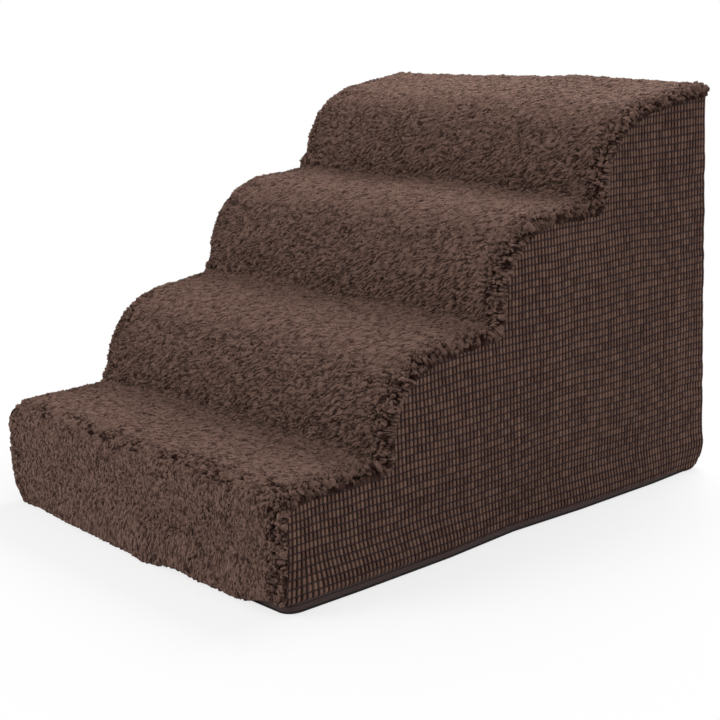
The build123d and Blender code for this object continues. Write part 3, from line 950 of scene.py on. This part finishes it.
def makeCurls():
    # short bent locks that stand out of the pile, thickest along its edges
    rng = np.random.default_rng(7)
    rows, columns = pileU.shape
    edge, end = plush["flatHalf"], pileS.max()
    count = curls["edgeCount"]
    along = rng.uniform(0.03, end - curls["endGap"], count)
    across = edge + rng.normal(*curls["besideEdge"], count).clip(*curls["besideLimits"])
    across = across * rng.choice((-1, 1), count, p=curls["leftRight"])
    count = curls["frontCount"]
    along = np.append(along, rng.normal(*curls["frontPlace"], count))
    across = np.append(across, rng.uniform(-edge, edge, count))
    count = curls["riserCount"]
    spareS = rng.uniform(0.012, end - 0.012, count * 3)
    spareU = rng.uniform(-edge, edge, count * 3)
    row = np.searchsorted(pileS[:, 0], spareS).clip(0, rows - 1)
    upright = pileNormal[row, columns // 2, 2] < curls["steepest"]
    along = np.append(along, spareS[upright][:count])
    across = np.append(across, spareU[upright][:count])
    row = np.searchsorted(pileS[:, 0], along).clip(2, rows - 3)
    column = np.searchsorted(pileU[0], across).clip(2, columns - 3)
    out, a, b = pileNormal[row, column], pileAcross[row, column], pileAlong[row, column]
    centre = pileTop[row, column] - out * curls["rootDepth"]
    count = len(centre)
    turn = rng.uniform(0, 2 * math.pi, count)[:, None]
    way = a * np.cos(turn) + b * np.sin(turn)
    cross = np.cross(out, way)
    radius = curls["radius"] * rng.uniform(*curls["radiusRange"], count)[:, None]
    lean = rng.uniform(*curls["leanRange"], count)[:, None]
    sweep = rng.uniform(*curls["sweepRange"], count)[:, None]
    rings, sides, flatness = curls["rings"], curls["sides"], curls["flatness"]
    points = np.zeros((count, rings, sides, 3))
    for k in range(rings):
        t = k / (rings - 1)
        phi = curls["sweepStart"] + sweep * t
        place = centre + radius * (way * np.sin(phi) + out * (1 - np.cos(phi)) * flatness)
        place = place + cross * radius * lean * 2 * (t - 0.5)
        tangent = way * np.cos(phi) + out * np.sin(phi) * flatness
        tangent /= np.linalg.norm(tangent, axis=1)[:, None]
        first = np.cross(tangent, cross)
        first /= np.linalg.norm(first, axis=1)[:, None]
        second = np.cross(tangent, first)
        thick = curls["thickness"] * (0.25 + 0.75 * math.sin(math.pi * (0.12 + 0.76 * t)))
        for j in range(sides):
            angle = 2 * math.pi * j / sides
            points[:, k, j] = place + thick * (first * math.cos(angle) + second * math.sin(angle))
    across, along = across[:, None, None], along[:, None, None]
    beside, upward = 600 * points[..., 0] + 1000 * across, 600 * points[..., 2] + 1000 * along
    luck = rng.uniform(0, 1, count)[:, None, None]
    strand = np.stack(np.broadcast_arrays(beside, upward, luck), 3)
    shade = np.linspace(0.35, 0.9, rings)[:, None]
    return makeMesh(
        "edge_curls",
        points,
        tubeFaces(count, rings, sides),
        plushCloth,
        uv=np.stack([across + points[..., 0] * 0.6, along + points[..., 2] * 0.6], 3),
        marks={
            "relief": np.broadcast_to(shade, (count, rings, sides)),
            "strand": strand,
            "lie": np.broadcast_to(pileLie[row, column][:, None, None], strand.shape),
        },
    )


edgeCurls = makeCurls()
print("curls made", len(edgeCurls.data.polygons))


def makeBacking():
    # the knitted backing that carries the pile
    grid, _, s = runnerGrid(backing)
    faces = gridFaces(*grid.shape[:2])
    piece = makeMesh("plush_backing", settle(grid), faces, backingCloth)
    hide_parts("plush_runner")
    print("backing length", round(float(s[-1]), 4))


weave = {
    "ribWidth": 0.00465,
    "threadPitch": 0.00695,
    "parts": 3,  # mesh quads across one rib and between two threads
    "relief": 0.0008,
    "reliefStart": (0.0005, 0.0035),  # from the seams
    "bellies": (0.0016, 0.0012),  # of the sides and the back
    "depth": 0.0086,  # the panels' seam under the plush surface
    "outside": 0.2210,
    "backFace": 0.2770,
    "hems": (0.0123, 0.0123),  # at the front and at the rear
    "rightHems": (0.0098, 0.0048),  # lower where no slider passes
    "heelRadius": 0.016,
    "cornerRadius": 0.008,
    "closer": 0.105,  # share by which the ribs narrow towards the back
    "baseBack": 0.2520,
    "baseTop": 0.0025,
    "hemDrop": 0.026,
    "edgeRound": 0.0018,
    "rowsBelow": 7,
    "tallest": 0.39,
    # waves of the threads up and of the ribs along: height, and size both ways
    "threadWaves": ((0.0019, 0.085, 0.12), (0.0009, 0.03, 0.08)),
    "ribWaves": ((0.0022, 0.12, 0.10), (0.0006, 0.025, 0.05)),
    "ripple": (0.0007, 0.045, 0.09),
}


def weaveRelief(i, j):
    # ribs stand out, and are pinched at the threads
    across = np.array([0.0, 1.0, 1.0])[i % weave["parts"]]
    pinch = np.array([0.5, 1.0, 1.0])[j % weave["parts"]]
    return weave["relief"] * across * pinch


def outlineDistance(points, outline):
    # distance to a closed outline, positive inside it, and the nearest place on it
    a, b = outline, np.roll(outline, -1, axis=0)
    d = b - a
    span = np.maximum((d**2).sum(1), 1e-18)
    best = np.full(len(points), 9.0)
    near = np.zeros_like(points)
    inside = np.zeros(len(points), bool)
    for k in range(len(a)):
        t = np.clip(((points - a[k]) @ d[k]) / span[k], 0, 1)
        spot = a[k] + t[:, None] * d[k]
        gap = np.linalg.norm(points - spot, axis=1)
        closer = gap < best
        best = np.where(closer, gap, best)
        near = np.where(closer[:, None], spot, near)
        if abs(d[k, 1]) > 1e-12:
            crosses = (a[k, 1] > points[:, 1]) != (b[k, 1] > points[:, 1])
            at = a[k, 0] + (points[:, 1] - a[k, 1]) / d[k, 1] * d[k, 0]
            inside ^= crosses & (points[:, 0] < at)
    return np.where(inside, best, -best), near


def keepInside(grid, outline, reach):
    # the quads inside the outline, with the points along their edge set onto it
    flat = grid.reshape(-1, 2)
    depth, near = outlineDistance(flat, outline)
    faces = gridFaces(*grid.shape[:2])
    faces = faces[(depth[faces] > -reach).all(1)]
    count = np.bincount(faces.ravel(), minlength=len(flat))
    rim = (count > 0) & (count < 4) & (depth < 2.2 * reach)
    flat = np.where(rim[:, None], near, flat)
    depth = np.where(rim, 0, np.maximum(depth, 0))
    used = np.flatnonzero(count)
    order = np.full(len(flat), -1)
    order[used] = np.arange(len(used))
    return flat, depth, order[faces], used


def edgeSink(depth, radius):
    # how far a rounded edge falls away, this far in from its outline
    d = np.clip(depth, 0, radius)
    return radius - np.sqrt(np.maximum(radius**2 - (radius - d) ** 2, 0))


def sideOutline(hemZ, rearHemZ):
    corners, radii = steppedLine(weave["depth"], weave["backFace"])
    front = stairs["frontY"] + weave["depth"] - stairs["frontTuck"]
    corners = [(front, hemZ), (front, corners[0][1] + 0.0015)] + corners[1:]
    radii[0] = weave["cornerRadius"]
    corners += [
        (weave["backFace"], 0),
        (weave["baseBack"], 0),
        (weave["baseBack"], weave["baseTop"]),
        (weave["baseBack"] - weave["hemDrop"], rearHemZ),
    ]
    return roundedLine(corners, [0] + radii + [weave["heelRadius"], 0, 0, 0], 0.003, closed=True)


def makeSidePanel(side, name, node, seed):
    hemZ, rearHemZ = weave["rightHems"] if side > 0 else weave["hems"]
    outline = sideOutline(hemZ, rearHemZ)
    parts, below = weave["parts"], weave["rowsBelow"]
    front, back = outline[:, 0].min(), weave["backFace"]
    length = back - front
    # the ribs lie a little closer towards the back
    ribs = round(length / weave["ribWidth"] / (1 - 0.5 * weave["closer"]))
    i = np.arange(ribs * parts + 1)
    widths = 1 - weave["closer"] * ease(i / i[-1], 0.05, 1.0)
    widths[0] = 0
    ribLines = front + length * np.cumsum(widths) / widths.sum()
    stepY, stepZ = length / ribs / parts, weave["threadPitch"] / parts
    gi, gj = np.meshgrid(i, np.arange(-below, round(weave["tallest"] / stepZ)))
    y, z = ribLines[gi], hemZ + gj * stepZ
    loose = ease(z, hemZ, 0.06) * ease(y, front, -0.23) * ease(-y, -back, -0.24)
    bowY = waves(y, z, seed + 2, *weave["ribWaves"]) * loose
    bowZ = waves(y, z, seed, *weave["threadWaves"]) * loose
    grid = np.stack([y + bowY, z + bowZ], 2)
    flat, depth, faces, used = keepInside(grid, outline, stepY * 0.55)
    y, z = flat[:, 0], flat[:, 1]
    belly = weave["bellies"][0] * ease(depth, 0.0, 0.06) * ease(z, hemZ, 0.05)
    ripple = waves(y, z, seed + 4, weave["ripple"]) * ease(depth, 0, 0.02)
    relief = weaveRelief(gi.ravel(), (gj + parts * below).ravel())
    relief = relief * ease(depth, *weave["reliefStart"])
    out = weave["outside"] - 0.5 * weave["relief"] + belly + ripple + relief
    out = out - edgeSink(depth, weave["edgeRound"])
    # in shade under the runner's edge, but not at the hem or the back
    shaded = (1 - ease(depth, 0.0004, 0.0030)) * ease(z, hemZ + 0.004, hemZ + 0.012)
    shaded *= ease(-y, 0.01 - back, 0.02 - back)
    shaded *= 0.5 + 0.5 * ease(softNoise(y / 0.02, z / 0.02, seed + 5), -0.4, 0.2)
    points = np.stack([side * out, y, z], 1)[used]
    uv = np.stack([gi.ravel() / parts + 200 * (side < 0), gj.ravel() / parts + 20], 1)[used]
    piece = makeMesh(
        name,
        settle(points),
        faces[:, ::-1] if side > 0 else faces,
        waffleCloth,
        uv=uv,
        marks={"shaded": shaded[used]},
    )
    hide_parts(node)
    following = np.roll(outline, -1, axis=0)
    area = 0.5 * abs(np.sum(outline[:, 0] * following[:, 1] - following[:, 0] * outline[:, 1]))
    print(name, "cut", np.ptp(outline, axis=0).round(4), "area", round(float(area), 4))
    return piece


def makeBackPanel():
    parts = weave["parts"]
    half = weave["outside"] - weave["edgeRound"] + 0.0002
    ribs = 2 * round(half / weave["ribWidth"])
    corners, _ = steppedLine(weave["depth"], weave["backFace"])
    foot = 0.0004
    line = roundedLine(
        [(weave["baseBack"], foot), (weave["backFace"], foot), (weave["backFace"], corners[-1][1])],
        [0, weave["heelRadius"], 0],
    )
    places, normals, along = evenLine(line, weave["threadPitch"] / parts)
    gi, gj = np.meshgrid(np.arange(ribs * parts + 1), np.arange(len(places)))
    x, s = gi * (2 * half / ribs / parts) - half, along[gj]
    inward = np.minimum(half - np.abs(x), along[-1] - s)
    out = weaveRelief(gi, gj) * ease(inward, *weave["reliefStart"]) - weave["relief"]
    out += weave["bellies"][1] * ease(inward, 0, 0.07) * ease(s, 0.05, 0.12)
    out -= 0.0009 * (1 - ease(inward, 0, 0.002))
    out += waves(x, s, 95, (0.0006, 0.06, 0.08)) * ease(inward, 0, 0.02) * ease(s, 0.04, 0.1)
    bowX = waves(x, s, 97, (0.0008, 0.1, 0.06)) * ease(inward, 0, 0.04)
    bowZ = waves(x, s, 96, (0.0016, 0.09, 0.1)) * ease(inward, 0, 0.05) * ease(s, 0.05, 0.1)
    y, z = (places[gj, k] - normals[gj, k] * out for k in (0, 1))
    piece = makeMesh(
        "back_cloth",
        settle(np.stack([x + bowX, y, z + bowZ], 2)),
        gridFaces(*gi.shape),
        waffleCloth,
        uv=np.stack([gi / parts + 400.0, gj / parts], 2),
    )
    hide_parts("back_panel")
    print("back panel", round(2 * half, 4), round(float(along[-1]), 4))
    return piece


zipper = {
    "height": 0.00775,  # of the chain's middle
    "tapeWidth": 0.010,
    "thickness": 0.0007,
    "ridge": 0.0009,
    # ridges and sunk lines: the share of the way up, and how far they stand out
    "upperRidges": (
        (0.0, 0.0), (0.05, 0.55), (0.14, 0.85), (0.26, 0.35),
        (0.36, 0.85), (0.46, 0.4), (0.6, 0.1), (1.0, 0.0),
    ),
    "lowerRidges": (
        (0.0, 0.1), (0.12, 0.55), (0.3, 0.85), (0.5, 0.35), (0.7, 0.85), (0.88, 0.55), (1.0, 0.0),
    ),
    "slot": 0.0003,
    "face": 0.2185,
    "front": -0.2705,
    "cornerRadius": 0.012,
    "tapeEnd": 0.2517,
    "parkedY": 0.2132,
    "throat": 0.002,
    "parting": 0.00135,
    "chainEnd": 0.2180,
    "stopLength": 0.002,
    "wedgeEnd": 0.2717,
    "coilWidth": 0.0020,
    "coilThickness": 0.0016,
    "coilSlot": 0.0001,
    "coilSides": 8,
    "toothPitch": 0.0020,
    "softEdge": 0.00012,  # of the slider, the pull and the stops
}


def zipperPath(inset, end, spacing):
    face, front = zipper["face"] - inset, zipper["front"] + inset
    radius = zipper["cornerRadius"] - inset
    corners = [(face, end), (face, front), (-face, front), (-face, end)]
    return evenLine(roundedLine(corners, [0, radius, radius, 0]), spacing)


def partingAt(places, apart, closes=()):
    # how far the two halves stand apart from the slider on, on the left run
    y = np.where(places[:, 0] < -0.2, places[:, 1], -1.0)
    knots = [zipper["parkedY"], zipper["parkedY"] + zipper["throat"], *closes]
    return np.interp(y, knots, [0, apart, apart, 0][: len(knots)])


def sweptPoints(places, normals, profile):
    # a profile of (outwards, up) carried along a path on the floor
    out = places[:, None] + normals[:, None] * profile[..., :1]
    return settle(np.concatenate([out, profile[..., 1:]], 2))


def sweepBand(name, places, normals, along, spots, slot, material):
    # spots: (outwards, up) round the band, as numbers or with one for each place
    blank = np.zeros(len(places))
    profile = np.stack([np.stack([blank + out, blank + up], 1) for out, up in spots], 1)
    faces = gridFaces(len(places), len(spots), wrap=True)
    uv = np.stack(np.broadcast_arrays(along[:, None], distanceAlong(profile[0])), 2)
    points = sweptPoints(places, normals, profile)
    return makeMesh(name, points, faces, material, uv=uv)


def makeTapes():
    path = zipperPath(0, zipper["tapeEnd"], 0.0025)
    closes = (zipper["chainEnd"] + zipper["stopLength"], zipper["wedgeEnd"])
    part = np.maximum(partingAt(path[0], zipper["parting"], closes), zipper["slot"])
    thick, ridge, middle = zipper["thickness"], zipper["ridge"], zipper["height"]
    # the visible fold of the upper tape has soft ridges with sunk lines between them
    start, width = middle + part, zipper["tapeWidth"] - part
    upper = [(out * ridge, start + width * f) for f, out in zipper["upperRidges"]]
    upper += [(-thick, up) for _, up in reversed(upper)]
    upperTape = sweepBand("upper_tape", *path, upper, "zipper_tape", tapeCloth)
    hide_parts("zipper_tape_upper")
    low, top = weave["baseTop"], middle - part
    leg = zipper["tapeWidth"] - (middle - zipper["slot"] - low)
    lower = [(out * ridge, low + (top - low) * f) for f, out in zipper["lowerRidges"]]
    lower += [(-thick, top), (-thick, low + thick), (-leg, low + thick), (-leg, low), (-thick, low)]
    lowerTape = sweepBand("lower_tape", *path, lower, "zipper_tape", tapeCloth)
    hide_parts("zipper_tape_lower")
    print("tape length", round(float(path[2][-1]), 3))


def makeCoil(side, name, node):
    # teeth of the closed chain: the bead swells at each turn of the coil
    thick, wide = zipper["coilThickness"] / 2, zipper["coilWidth"] / 2
    path = zipperPath(zipper["thickness"] + thick, zipper["chainEnd"], zipper["toothPitch"] / 4)
    part = partingAt(path[0], zipper["parting"] - zipper["coilSlot"])
    phase = 0 if side > 0 else math.pi
    swell = 0.5 + 0.5 * np.cos(2 * math.pi * path[2] / zipper["toothPitch"] + phase)
    centre = zipper["height"] + side * (zipper["coilSlot"] + wide + part)
    spots = []
    for k in range(zipper["coilSides"]):
        angle = 2 * math.pi * (k + 0.5) / zipper["coilSides"]
        out = thick * (0.62 + 0.38 * swell) * math.cos(angle)
        spots.append((out, centre + wide * (0.7 + 0.3 * swell) * math.sin(angle)))
    piece = sweepBand(name, *path, spots, "zipper_coil", coilNylon)
    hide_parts(node)


base = {
    "outside": 0.2193,
    "front": -0.2713,
    "back": 0.2517,
    "cornerRadius": 0.0128,
    # the soft piping round its rim: (outwards, up)
    "rim": (
        (-0.0016, 0.0025), (-0.0006, 0.0025), (0.0003, 0.0021), (0.0006, 0.0015),
        (0.0003, 0.0009), (-0.0006, 0.0008), (-0.0030, 0.0008),
    ),
    "dotPitch": 0.012,
    "rowShare": 0.866,  # of the dot pitch, which sets the dots in triangles
    "dotField": 0.2095,  # half its width
    "dotMargins": (0.012, 0.010),  # at the front and the back
    "dotRadius": 0.0021,
    "dotSides": 10,
    "dotRings": ((1.0, 0.0008), (0.93, 0.0004), (0.72, 0.0001), (0.4, 0.0), (0.05, 0.0)),
}


def makeBase():
    # the cloth: one sheet whose rim is a soft piping
    outside, front, back = base["outside"], base["front"], base["back"]
    corners = [(outside, back), (outside, front), (-outside, front), (-outside, back)]
    radius = base["cornerRadius"]
    places, normals, _ = evenLine(roundedLine(corners, [0, radius, radius, 0], 0.002), 0.003)
    rows, count = len(places), len(base["rim"])
    rim = np.broadcast_to(np.array(base["rim"]), (rows, count, 2))
    piping = sweptPoints(places, normals, rim)
    cap = [r * count + count - 1 for r in range(rows)]
    faces = gridFaces(rows, count)
    cloth = makeCapped("base_cloth", piping, faces, [cap], baseCloth)
    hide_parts("base_panel")
    # rubber dots under it
    pitch, field, share = base["dotPitch"], base["dotField"], base["rowShare"]
    length = back - front - sum(base["dotMargins"])
    spots = []
    for r in range(int(length / (pitch * share)) + 1):
        y = front + base["dotMargins"][0] + r * pitch * share
        for c in range(int(2 * field / pitch) + 1):
            spots.append((-field + c * pitch + (pitch / 2 if r % 2 else 0), y))
    spots = np.array(spots)
    sides, rings = base["dotSides"], base["dotRings"]
    angles = 2 * math.pi * np.arange(sides) / sides
    circle = np.stack([np.cos(angles), np.sin(angles)], 1)
    points = np.zeros((len(spots), len(rings), sides, 3))
    for k, (size, z) in enumerate(rings):
        points[:, k, :, :2] = spots[:, None] + base["dotRadius"] * size * circle
        points[:, k, :, 2] = z
    faces = tubeFaces(len(spots), len(rings), sides)[:, ::-1]
    dots = makeMesh("grip_dots", points, faces, gripRubber)
    print("base made, dots", len(spots))


foam = {
    "depth": 0.0098,  # under the plush surface
    "backFace": 0.2742,
    "half": 0.2182,
    "bottom": 0.0028,
    "bevel": 0.01946,
    "heelRadius": 0.0192,
    "slices": (-1, -0.97, -0.9, -0.5, 0, 0.5, 0.9, 0.97, 1),
    "softFrom": 0.97,  # the share of the half width where the slices start to shrink
    "softening": 0.006,
}


def makeFoam():
    # the contour-cut block, with slightly softened edges
    depth, bevel, bottom, half = (foam[key] for key in ("depth", "bevel", "bottom", "half"))
    corners, radii = steppedLine(depth, foam["backFace"])
    front = stairs["frontY"] + depth
    points = [(front + bevel, bottom), (front, bottom + bevel)] + corners
    points.append((foam["backFace"], bottom))
    radii = [0, 0] + radii + [foam["heelRadius"]]
    outline = roundedLine(points, radii, 0.004, closed=True)
    rows = []
    for share in foam["slices"]:
        x = share * half
        edge = max(0.0, (abs(share) - foam["softFrom"]) / (1 - foam["softFrom"]))
        row = outline + (outline.mean(0) - outline) * foam["softening"] * edge
        row[:, 1] += np.maximum(abs(x) - (half - bevel) - (row[:, 1] - bottom), 0)
        rows.append(np.column_stack([np.full(len(row), x), row]))
    slices, count = len(rows), len(outline)
    caps = [list(range(count)), list(range((slices - 1) * count, slices * count))[::-1]]
    faces = gridFaces(slices, count, wrap=True)
    piece = makeCapped("foam_block", np.array(rows), faces, caps, openFoam)
    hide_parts("foam_core")


makeFoam()
makeBacking()
rightCloth = makeSidePanel(1, "right_cloth", "right_side_panel", 101)
leftCloth = makeSidePanel(-1, "left_cloth", "left_side_panel", 201)
backCloth = makeBackPanel()
makeTapes()
makeCoil(1, "upper_coil", "zipper_coil_upper")
makeCoil(-1, "lower_coil", "zipper_coil_lower")
makeBase()

for nodeName, finish in (
    ("zipper_slider", sliderEnamel),
    ("zipper_pull", sliderEnamel),
    ("zipper_top_stops", crimpMetal),
    ("zipper_bottom_stop", crimpMetal),
):
    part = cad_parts[nodeName]
    part.data.materials.clear()
    part.data.materials.append(finish)
    edges = part.modifiers.new("softEdges", "BEVEL")
    edges.width, edges.segments, edges.limit_method = zipper["softEdge"], 2, "ANGLE"
print("zipper made")


view = {
    "place": (1.31061, -1.11642, 0.56646),
    "yaw": 49.455,
    "pitch": 14.149,
    "roll": -2.2705,
    "lens": 86.67,
    "sensor": 36,
    "clip": (0.01, 50),
}


def makeCamera():
    yaw, pitch, roll = (math.radians(view[k]) for k in ("yaw", "pitch", "roll"))
    level = math.cos(pitch)
    ahead = Vector((-math.sin(yaw) * level, math.cos(yaw) * level, -math.sin(pitch)))
    right = Vector((math.cos(yaw), math.sin(yaw), 0))
    up = right.cross(ahead)
    turnedRight = math.cos(roll) * right + math.sin(roll) * up
    turnedUp = -math.sin(roll) * right + math.cos(roll) * up
    matrix = Matrix((turnedRight, turnedUp, -ahead)).transposed().to_4x4()
    matrix.translation = Vector(view["place"])
    camera = addObject("camera", bpy.data.cameras.new("camera"))
    camera.data.lens, camera.data.sensor_width = view["lens"], view["sensor"]
    camera.data.clip_start, camera.data.clip_end = view["clip"]
    camera.matrix_world = matrix
    bpy.context.scene.camera = camera


studio = {
    "worldLight": 0.36,
    "floorTone": 0.85,
    "floorReach": 6.0,
    "floorLevel": -0.0002,
    "floorGlow": 0.75,
    "shadowEnds": (0.35, 0.75),  # where the floor's shadow starts to fade, and is gone
    "lamps": (
        # name, place, aim, size, watts
        ("skyLamp", (-0.1, 0.95, 1.17), (0, 0, 0.2), 0.85, 20.5),
        ("frontLamp", (-1.0, -2.15, 1.25), (0, 0, 0.2), 1.2, 39),
        ("sideLamp", (2.3, -0.1, 1.6), (0, 0, 0.2), 1.2, 17),
    ),
}


def seenDirectly(tree):
    # 1 for what the camera sees straight, in gloss or through glass
    path = put(tree, "ShaderNodeLightPath", {}).outputs
    either = calc("MAXIMUM", path["Is Camera Ray"], path["Is Glossy Ray"])
    return calc("MAXIMUM", either, path["Is Transmission Ray"])


def makeStudio():
    world = bpy.data.worlds.new("studio")
    world.use_nodes = True
    bpy.context.scene.world = world
    tree = world.node_tree
    light = studio["worldLight"]
    background = tree.nodes["Background"]
    background.inputs[0].default_value = (1, 1, 1, 1)
    tree.links.new(add(mul(seenDirectly(tree), 1 - light), light), background.inputs[1])

    reach, level, tone = studio["floorReach"], studio["floorLevel"], studio["floorTone"]
    floorMesh = bpy.data.meshes.new("floor")
    corners = [(x * reach, y * reach, level) for x, y in ((-1, -1), (1, -1), (1, 1), (-1, 1))]
    floorMesh.from_pydata(corners, [], [(0, 1, 2, 3)])
    material, tree, _ = newMaterial(
        "pale floor", Base_Color=(tone, tone, tone, 1), Roughness=1.0, Specular_IOR_Level=0.0
    )
    glow = put(tree, "ShaderNodeEmission", {"Color": (1, 1, 1, 1), "Strength": 1.0})
    # plain white away from the stairs, and their shadow close to them
    distance = vectorCalc("LENGTH", objectPlace(tree), output="Value")
    glowing = remap(distance, *studio["shadowEnds"], studio["floorGlow"], 1.0)
    shader = tree.nodes["Principled BSDF"].outputs[0]
    links = {0: mul(seenDirectly(tree), glowing), 1: shader, 2: glow.outputs[0]}
    both = put(tree, "ShaderNodeMixShader", links)
    tree.links.new(both.outputs[0], tree.nodes["Material Output"].inputs[0])
    floorMesh.materials.append(material)
    addObject("floor", floorMesh)

    for name, place, aim, size, watts in studio["lamps"]:
        lamp = bpy.data.lights.new(name, "AREA")
        lamp.energy, lamp.size = watts, size
        holder = addObject(name, lamp)
        holder.location = place
        aimed = (Vector(aim) - Vector(place)).to_track_quat("-Z", "Y")
        holder.rotation_euler = aimed.to_euler()
    bpy.context.scene.view_settings.view_transform = "Standard"


makeCamera()
makeStudio()
print("camera and light set")
